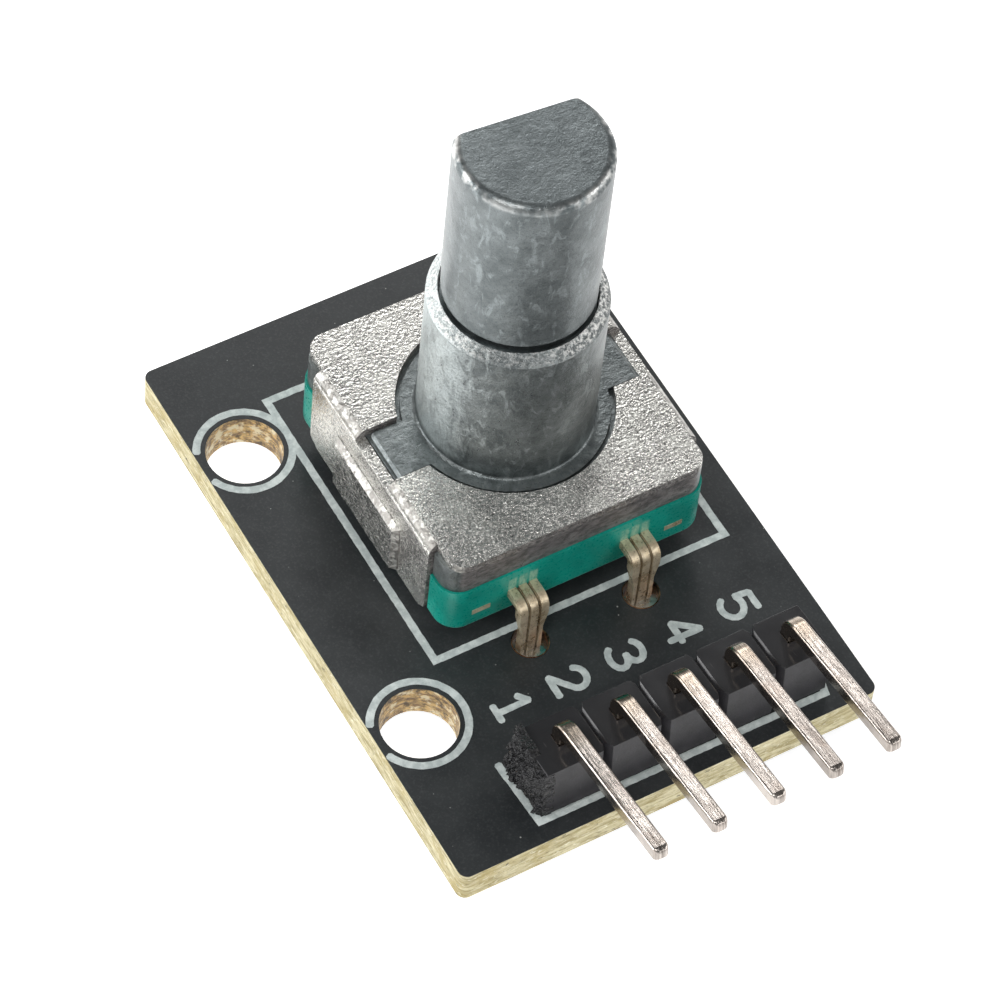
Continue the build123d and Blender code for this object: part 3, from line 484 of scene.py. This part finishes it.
def solder():
    """Bright solder with flux haze and shallow freezing ripples."""
    p = Paint("solder", Metallic=1.0)
    ripple = p.noise(0.3, 3, 0.5)
    haze = p.noise(0.8, 4, 0.6)
    tone = p.blend(p.fit(haze, 0.4, 0.66), (0.66, 0.66, 0.68), (0.84, 0.84, 0.85))
    p.set(Base_Color=tone, Roughness=p.fit(haze, 0.3, 0.7, 0.14, 0.34))
    p.bumps((ripple, 0.03))
    return p.material


def spring_steel():
    """Rolled stainless strip."""
    p = Paint("spring_steel", Metallic=1.0)
    rolled = p.noise(0.10, 4, 0.6, p.stretched(1.0, 0.1, 1.0))
    stain = p.noise(0.9, 3)
    tone = p.blend(p.fit(rolled, 0.35, 0.65), (0.52, 0.52, 0.52), (0.72, 0.72, 0.71))
    p.set(Base_Color=tone, Roughness=p.fit(stain, 0.3, 0.7, 0.22, 0.36))
    p.bumps((rolled, 0.006))
    return p.material


def acetal():
    """Natural acetal moulding, milky and slightly waxy."""
    p = Paint("acetal", Specular_IOR_Level=0.45, Subsurface_Weight=0.15, Subsurface_Scale=0.3 * MM)
    milk = p.noise(0.9, 4, 0.6)
    grain = p.noise(0.1, 3)
    tone = p.blend(p.fit(milk, 0.35, 0.65), (0.66, 0.64, 0.56), (0.82, 0.81, 0.75))
    p.set(Base_Color=tone, Roughness=p.fit(grain, 0.3, 0.7, 0.38, 0.52))
    p.bumps((grain, 0.006))
    return p.material


def chip_body():
    """Glazed chip resistor: black glass coat over ceramic."""
    p = Paint("chip_body", Specular_IOR_Level=0.6)
    z_facing = p.split(p.facing)[2]
    glaze = p.fit(z_facing, -0.5, -0.8)
    speck = p.noise(0.12, 4, 0.6)
    black = p.blend(p.fit(speck, 0.4, 0.7), (0.012, 0.012, 0.014), (0.04, 0.04, 0.045))
    ceramic = p.blend(p.fit(speck, 0.4, 0.7), (0.60, 0.59, 0.56), (0.78, 0.77, 0.74))
    p.set(Base_Color=p.blend(glaze, ceramic, black), Roughness=p.fit(speck, 0.3, 0.7, 0.25, 0.4))
    p.bumps((speck, 0.008))
    return p.material


def paper_floor():
    """Seamless white paper with a very faint tooth."""
    p = Paint("paper_floor", Specular_IOR_Level=0.1)
    tooth = p.noise(0.5, 3)
    tone = p.blend(p.fit(tooth, 0.3, 0.7), (0.86, 0.86, 0.86), (0.90, 0.90, 0.90))
    p.set(Base_Color=tone, Roughness=p.fit(tooth, 0.3, 0.7, 0.85, 0.95))
    x, y = p.split(p.place)[:2]
    glow = p.fit(p.toward_bright_side(x, y), -40 * MM, 40 * MM, FLOOR_GLOW_DIM, FLOOR_GLOW_BRIGHT)
    p.shader.inputs["Emission Color"].default_value = (1, 1, 1, 1)
    p.set(Emission_Strength=glow)
    return p.material


paints = {
    "mask": solder_mask(),
    "edge": laminate_edge(),
    "drilled": hole_wall(),
    "ink": legend_ink(),
    "nickel": nickel_sheet(),
    "bushing_zinc": cast_zinc(
        "bushing_zinc", dark=(0.095, 0.108, 0.11), light=(0.21, 0.23, 0.23), roughness=(0.26, 0.40),
        grain_depth=0.014, peel_depth=0.034, painted_side_highlight=0.95, rim=(6.88, 7.42, 0.15, 0.12, 0.6)),
    # The shaft's rim band paints soft highlights on its rounded shoulder.
    "shaft_zinc": cast_zinc(
        "shaft_zinc", dark=(0.105, 0.12, 0.123), light=(0.185, 0.206, 0.21), roughness=(0.28, 0.40),
        grain_depth=0.008, peel_depth=0.016, painted_side_highlight=0.06, rim=(15.34, 15.745, 1.1, 0.01, 0.0)),
    "teal": teal_plastic(),
    "bronze": bronze(),
    "pin": tinned_pin(),
    "header": header_plastic(),
    "torn": torn_plastic(),
    "copper": copper_land(),
    "solder": solder(),
    "spring": spring_steel(),
    "acetal": acetal(),
    "chip": chip_body(),
}


# ======================================================================================
# Mesh building
# ======================================================================================

def add_piece(name, mesh, body, slot_name, *materials):
    """Puts a finished mesh in the scene, on its body, with its materials; the slot name is not used."""
    piece = bpy.data.objects.new(name, mesh)
    bpy.context.scene.collection.objects.link(piece)
    for material in materials:
        mesh.materials.append(material)
    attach(piece, body)
    return piece


def clean_copy(node, merge=0.0005, flat_angle=0.4):
    """The CAD node's mesh with its triangles joined into whole faces."""
    bm = bmesh.new()
    bm.from_mesh(nodes[node].data)
    bmesh.ops.remove_doubles(bm, verts=bm.verts, dist=merge * MM)
    bmesh.ops.dissolve_degenerate(bm, edges=bm.edges, dist=merge * MM)
    bmesh.ops.dissolve_limit(bm, angle_limit=math.radians(flat_angle), verts=bm.verts, edges=bm.edges,
                             delimit={"NORMAL"})
    return bm


def soften(bm, width_mm, sharper_than=30.0, segments=2):
    """Rounds the edges that are sharper than an angle."""
    limit = math.radians(sharper_than)
    edges = [e for e in bm.edges if len(e.link_faces) == 2 and e.calc_face_angle(0) > limit]
    bmesh.ops.bevel(bm, geom=edges, offset=width_mm * MM, offset_type="OFFSET", segments=segments,
                    profile=0.5, affect="EDGES", clamp_overlap=True)


def weigh_normals(mesh, smooth_below):
    """Corner normals weighted by face area, so large flat faces stay flat beside their rounded edges."""
    limit = math.cos(math.radians(smooth_below))
    around = [[] for _ in mesh.vertices]
    for face in mesh.polygons:
        for index in face.vertices:
            around[index].append(face.index)
    areas = [face.area for face in mesh.polygons]
    normals = [face.normal.copy() for face in mesh.polygons]
    corners = []
    for face in mesh.polygons:
        own = normals[face.index]
        for index in face.vertices:
            total = own * areas[face.index]
            for other in around[index]:
                if other != face.index and normals[other].dot(own) > limit:
                    total = total + normals[other] * areas[other]
            corners.append(total.normalized() if total.length > 0 else own)
    mesh.normals_split_custom_set(corners)


def to_mesh(bm, name, smooth_below=50.0):
    """Finished mesh, shaded smooth across edges blunter than an angle."""
    mesh = bpy.data.meshes.new(name)
    bm.to_mesh(mesh)
    bm.free()
    mesh.shade_smooth()
    mesh.set_sharp_from_angle(angle=math.radians(smooth_below))
    weigh_normals(mesh, smooth_below)
    return mesh


def softened_part(node, body, slot_name, width_mm, material, sharper_than=30.0, segments=2):
    """A CAD node rebuilt with rounded edges; it stands for the node."""
    bm = clean_copy(node)
    soften(bm, width_mm, sharper_than, segments)
    piece = add_piece(f"{node}_finished", to_mesh(bm, node), body, slot_name, material)
    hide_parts(node)
    return piece


def build_board():
    """Board with softened rims; its faces are sorted into mask, routed edge and drilled wall."""
    bm = clean_copy("circuit_board")
    soften(bm, 0.03, segments=1)
    for face in bm.faces:
        centre = face.calc_center_median()
        near_hole = min((Vector((centre.x, centre.y)) - hole.xy).length for hole in screw_holes)
        if abs(face.normal.z) > 0.4:
            face.material_index = 0
        elif near_hole < HOLE_RADIUS * 1.05:
            face.material_index = 2
        else:
            face.material_index = 1
    piece = add_piece("board", to_mesh(bm, "board"), "board_assembly", "solder_mask",
                      paints["mask"], paints["edge"], paints["drilled"])
    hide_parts("circuit_board")


def ribbon(bm, points, width_mm, layer):
    """A printed stroke with slightly uneven borders and round ends, as a thin raised strip.

    Strokes that cross lie at different layers, so no two faces share a plane.
    """
    line = []
    for a, b in zip(points, points[1:]):
        count = max(1, round((b - a).length / STROKE_STEP))
        line += [a.lerp(b, i / count) for i in range(count)]
    line.append(points[-1])
    rows = []
    for i, point in enumerate(line):
        before = line[max(i - 1, 0)]
        after = line[min(i + 1, len(line) - 1)]
        along = (after - before).normalized()
        across = Vector((-along.y, along.x))
        turn = 1.0
        if before is not point and after is not point:
            cosine = max(0.5, (point - before).normalized().dot(along))
            turn = 1 / cosine
        left = width_mm / 2 * turn * (1 + random.uniform(-INK_WOBBLE, INK_WOBBLE))
        right = width_mm / 2 * turn * (1 + random.uniform(-INK_WOBBLE, INK_WOBBLE))
        rows.append([point + across * left, point - across * right])
    caps = []
    for end, other in ((0, 1), (-1, -2)):
        out = (line[end] - line[other]).normalized()
        cap = [side + out * width_mm * CAP_REACH for side in rows[end]]
        middle = (cap[0] + cap[1]) / 2
        caps.append([corner.lerp(middle, CAP_TAPER) for corner in cap])
    rows = [caps[0]] + rows + [caps[1]]
    low = BOARD_TOP
    high = BOARD_TOP + (INK_THICKNESS + INK_LAYER * layer) * MM
    bottom, top = [[[bm.verts.new((v.x * MM, v.y * MM, z)) for v in row] for row in rows]
                   for z in (low, high)]
    for i in range(len(rows) - 1):
        j = i + 1
        bm.faces.new((top[i][1], top[j][1], top[j][0], top[i][0]))
        bm.faces.new((bottom[i][0], bottom[j][0], bottom[j][1], bottom[i][1]))
        bm.faces.new((bottom[i][0], top[i][0], top[j][0], bottom[j][0]))
        bm.faces.new((top[i][1], bottom[i][1], bottom[j][1], top[j][1]))
    for i, flip in ((0, False), (-1, True)):
        corners = [bottom[i][0], bottom[i][1], top[i][1], top[i][0]]
        bm.faces.new(corners[::-1] if flip else corners)


def print_strokes(name, strokes, width_mm, layer=0):
    """One inked mark made of several strokes."""
    bm = bmesh.new()
    for number, stroke in enumerate(strokes):
        ribbon(bm, [Vector(p) for p in stroke], width_mm, layer + number)
    bmesh.ops.recalc_face_normals(bm, faces=bm.faces)
    add_piece(name, to_mesh(bm, name), "board_assembly", "solder_mask", paints["ink"])


def arc_points(centre, radius, start, stop, count):
    """Points on an elliptical arc, angles in degrees."""
    return [(centre[0] + radius[0] * math.cos(math.radians(start + (stop - start) * i / count)),
             centre[1] + radius[1] * math.sin(math.radians(start + (stop - start) * i / count)))
            for i in range(count + 1)]


def digit_strokes(digit):
    """Strokes of a plain stick numeral in a box one unit wide and one unit high."""
    return {
        1: [[(0.15, 0.75), (0.55, 1.0)], [(0.55, 1.0), (0.55, 0.0)], [(0.15, 0.0), (0.95, 0.0)]],
        2: [arc_points((0.5, 0.7), (0.5, 0.3), 170, -35, 10) + [(0.0, 0.0)], [(0.0, 0.0), (1.0, 0.0)]],
        3: [arc_points((0.45, 0.75), (0.5, 0.25), 160, -90, 10),
            arc_points((0.45, 0.25), (0.55, 0.25), 90, -160, 10)],
        4: [[(0.75, 0.0), (0.75, 1.0)], [(0.75, 1.0), (0.0, 0.32)], [(0.0, 0.32), (1.0, 0.32)]],
        5: [[(0.95, 1.0), (0.12, 1.0)], [(0.12, 1.0), (0.05, 0.56)],
            arc_points((0.45, 0.33), (0.55, 0.33), 130, -150, 12)],
    }[digit]


def print_legend():
    """Body outline, broken at the back terminals' holes, header outline, hole rings and pin numbers."""
    left, right, front, back = BODY_OUTLINE
    first, last = (x / MM for x in terminal_xs)
    around = [(first - HOLE_GAP, back), (left, back), (left, front), (right, front), (right, back),
              (last + HOLE_GAP, back)]
    between = [[(a + HOLE_GAP, back), (b - HOLE_GAP, back)] for a, b in ((first, 0.0), (0.0, last))]
    print_strokes("ink_body_outline", [around] + between, INK_LINE)
    print_strokes("ink_header_outline", [STRIP_OUTLINE], INK_LINE)
    ring_mid = RING_RADIUS - RING_LINE / 2
    edge_x = board_low.x / MM + RING_LINE / 2
    for label, hole in zip(("back", "front"), screw_holes):
        centre = hole.xy / MM
        opening = math.degrees(math.acos((centre.x - edge_x) / ring_mid))
        arc = arc_points(centre, (ring_mid, ring_mid), -180 + opening, 180 - opening, 60)
        print_strokes(f"ink_ring_{label}", [arc], RING_LINE, layer=RING_LAYER)
    for number, x in enumerate(pin_xs, 1):
        strokes = []
        for stroke in digit_strokes(number):
            strokes.append([(x / MM + (v - 0.5) * DIGIT_HEIGHT, DIGIT_Y - (u - 0.5) * DIGIT_WIDTH)
                            for u, v in stroke])
        print_strokes(f"ink_pin_number_{number}", strokes, DIGIT_LINE)


def build_header():
    """Header insulator with softened blocks; its torn left end is cut away and made separately."""
    bm = clean_copy("header_strip")
    cut = bmesh.ops.bisect_plane(bm, geom=bm.verts[:] + bm.edges[:] + bm.faces[:], clear_inner=True,
                                 plane_co=(HEADER_TEAR_X, 0, 0), plane_no=(1, 0, 0))
    rim = [g for g in cut["geom_cut"] if isinstance(g, bmesh.types.BMEdge)]
    bmesh.ops.contextual_create(bm, geom=rim)
    soften(bm, 0.03)
    piece = add_piece("header", to_mesh(bm, "header"), "board_assembly", "header_plastic", paints["header"])
    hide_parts("header_strip")


def torn_height(u, w, waves, layer, roughening, octaves):
    """Fractal height at a spot of the torn face; u and w run from -1 to 1 across it."""
    return noise.fractal(Vector((u * waves, w * waves, layer)), 1.0, roughening, octaves)


def build_torn_end():
    """Crumbled plastic where the strip was snapped off, standing proud of the cut end of its first block."""
    middle_y = (strip_low.y + strip_high.y) / 2
    half_depth = (strip_high.y - strip_low.y) * TORN_DEPTH_SHARE
    half_height = (strip_high.z - strip_low.z) * TORN_HEIGHT_SHARE
    bm = bmesh.new()
    bmesh.ops.create_grid(bm, x_segments=TORN_GRID, y_segments=TORN_GRID, size=1.0)
    for v in bm.verts:
        u, w = v.co.x, v.co.y
        edge = max(abs(u), abs(w))
        lumps = torn_height(u, w, 2.2, 4.2, 2.1, 6) * 0.32
        crumbs = torn_height(u, w, 6.0, 1.7, 2.0, 3) * 0.20
        rim = torn_height(u, w, 2.3, 9.7, 2.0, 4) * 0.14
        bulge = (1 - edge ** 6) * (0.46 + 0.16 * w) + lumps + crumbs
        out = max(-0.05, min(bulge, TORN_REACH)) * MM
        lean = w * half_height * HEADER_LEAN_SLOPE
        v.co = Vector((HEADER_TEAR_X - out,
                       middle_y + u * half_depth * (1 + rim) + lean,
                       strip_low.z + half_height * (1 + w * (1 + rim * 0.3))))
    for v in bm.verts:
        v.co.z = min(max(v.co.z, BOARD_TOP), strip_high.z)
    back = bmesh.ops.extrude_face_region(bm, geom=bm.faces[:])
    for v in [g for g in back["geom"] if isinstance(g, bmesh.types.BMVert)]:
        v.co.x = HEADER_TEAR_X + TORN_ROOT
    bmesh.ops.recalc_face_normals(bm, faces=bm.faces)
    add_piece("header_torn_end", to_mesh(bm, "header_torn_end", 25), "board_assembly", "header_plastic",
              paints["torn"])


def build_dome():
    """Snap dome with softened edges, on a mesh of its own."""
    dome = softened_part("switch_dome", "board_assembly", "spring_steel", 0.01, paints["spring"])
    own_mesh(dome)


def paint_node(node, paint):
    """Gives a CAD node that stays visible its detailed material."""
    materials = nodes[node].data.materials
    materials.clear()
    materials.append(paints[paint])


random.seed(41)  # for the uneven borders of the printed strokes
build_board()
print_legend()
build_header()
build_torn_end()
for name in pin_names:
    softened_part(name, "board_assembly", "tinned_pin", 0.10, paints["pin"], segments=3)
for name in ("contact_a", "contact_common", "contact_b", "switch_contact_centre", "switch_contact_rim"):
    softened_part(name, "board_assembly", "bronze", 0.035, paints["bronze"], sharper_than=40)
softened_part("metal_cover", "board_assembly", "nickel_sheet", 0.05, paints["nickel"])
softened_part("bushing", "board_assembly", "cast_zinc", 0.04, paints["bushing_zinc"])
softened_part("contact_base", "board_assembly", "base_plastic", 0.05, paints["teal"])
softened_part("shaft", "knob_shaft", "cast_zinc", 0.05, paints["shaft_zinc"])
paint_node("plated_holes", "copper")
for name in ("header_solder", "encoder_solder", "resistor_caps", "resistor_solder"):
    paint_node(name, "solder")
paint_node("lead_frame_stubs", "bronze")
build_dome()
for name in ("retaining_clip", "detent_spring"):
    paint_node(name, "spring")
for name in ("rotor", "switch_plunger"):
    paint_node(name, "acetal")
paint_node("rotor_wiper", "bronze")
paint_node("resistor_bodies", "chip")


# ======================================================================================
# Stage, light and camera
# ======================================================================================

def build_floor():
    """Sheet of white paper at the height of the object's lowest point."""
    mesh = bpy.data.meshes.new("floor")
    corners = [(-1, -1), (1, -1), (1, 1), (-1, 1)]
    mesh.from_pydata([(x * FLOOR_REACH, y * FLOOR_REACH, cad_low.z) for x, y in corners], [], [(0, 1, 2, 3)])
    floor = bpy.data.objects.new("floor", mesh)
    mesh.materials.append(paper_floor())
    bpy.context.scene.collection.objects.link(floor)


def soft_box(name, azimuth, elevation, size, power):
    """Area light on a sphere round the object, facing its middle."""
    light = bpy.data.lights.new(name, "AREA")
    light.shape = "DISK"
    light.size = size
    light.energy = power
    lamp = bpy.data.objects.new(name, light)
    bpy.context.scene.collection.objects.link(lamp)
    a, e = math.radians(azimuth), math.radians(elevation)
    toward = Vector((math.sin(a) * math.cos(e), -math.cos(a) * math.cos(e), math.sin(e)))
    lamp.location = toward * LIGHT_DISTANCE
    lamp.rotation_mode = "QUATERNION"
    lamp.rotation_quaternion = toward.to_track_quat("Z", "Y")


def build_world():
    """Pale studio: bright toward the horizon, dim overhead."""
    world = bpy.data.worlds.new("studio")
    bpy.context.scene.world = world
    world.use_nodes = True
    tree = world.node_tree
    background = tree.nodes["Background"]
    background.inputs["Color"].default_value = (1, 1, 1, 1)
    direction = tree.nodes.new("ShaderNodeTexCoord").outputs["Generated"]
    split = tree.nodes.new("ShaderNodeSeparateXYZ")
    tree.links.new(direction, split.inputs[0])
    fade = tree.nodes.new("ShaderNodeMapRange")
    fade.interpolation_type = "SMOOTHSTEP"
    tree.links.new(split.outputs[2], fade.inputs["Value"])
    start, end = WORLD_FADE
    limits = {"From Min": start, "From Max": end, "To Min": WORLD_LOW, "To Max": WORLD_HIGH}
    for socket, value in limits.items():
        fade.inputs[socket].default_value = value
    tree.links.new(fade.outputs["Result"], background.inputs["Strength"])


def build_camera():
    """Long lens aimed at the object from its front left, from above."""
    data = bpy.data.cameras.new("camera")
    data.lens = LENS
    data.sensor_width = SENSOR
    data.clip_start = 0.01
    data.clip_end = 10
    camera = bpy.data.objects.new("camera", data)
    bpy.context.scene.collection.objects.link(camera)
    back = Vector((math.sin(CAMERA_AZIMUTH) * math.cos(CAMERA_ELEVATION),
                   -math.cos(CAMERA_AZIMUTH) * math.cos(CAMERA_ELEVATION),
                   math.sin(CAMERA_ELEVATION)))
    camera.location = CAMERA_TARGET + back * CAMERA_DISTANCE
    turn = back.to_track_quat("Z", "Y").to_matrix() @ Matrix.Rotation(CAMERA_ROLL, 3, "Z")
    camera.rotation_mode = "QUATERNION"
    camera.rotation_quaternion = turn.to_quaternion()
    bpy.context.scene.camera = camera


build_floor()
build_world()
soft_box("key", -60, 60, 0.20, 0.45)
soft_box("left", -120, 22, 0.16, 0.45)
soft_box("back", 155, 36, 0.13, 0.22)
soft_box("right", 60, 28, 0.14, 0.2)
soft_box("front", 22, 28, 0.11, 0.12)
build_camera()
bpy.context.scene.view_settings.view_transform = "Standard"
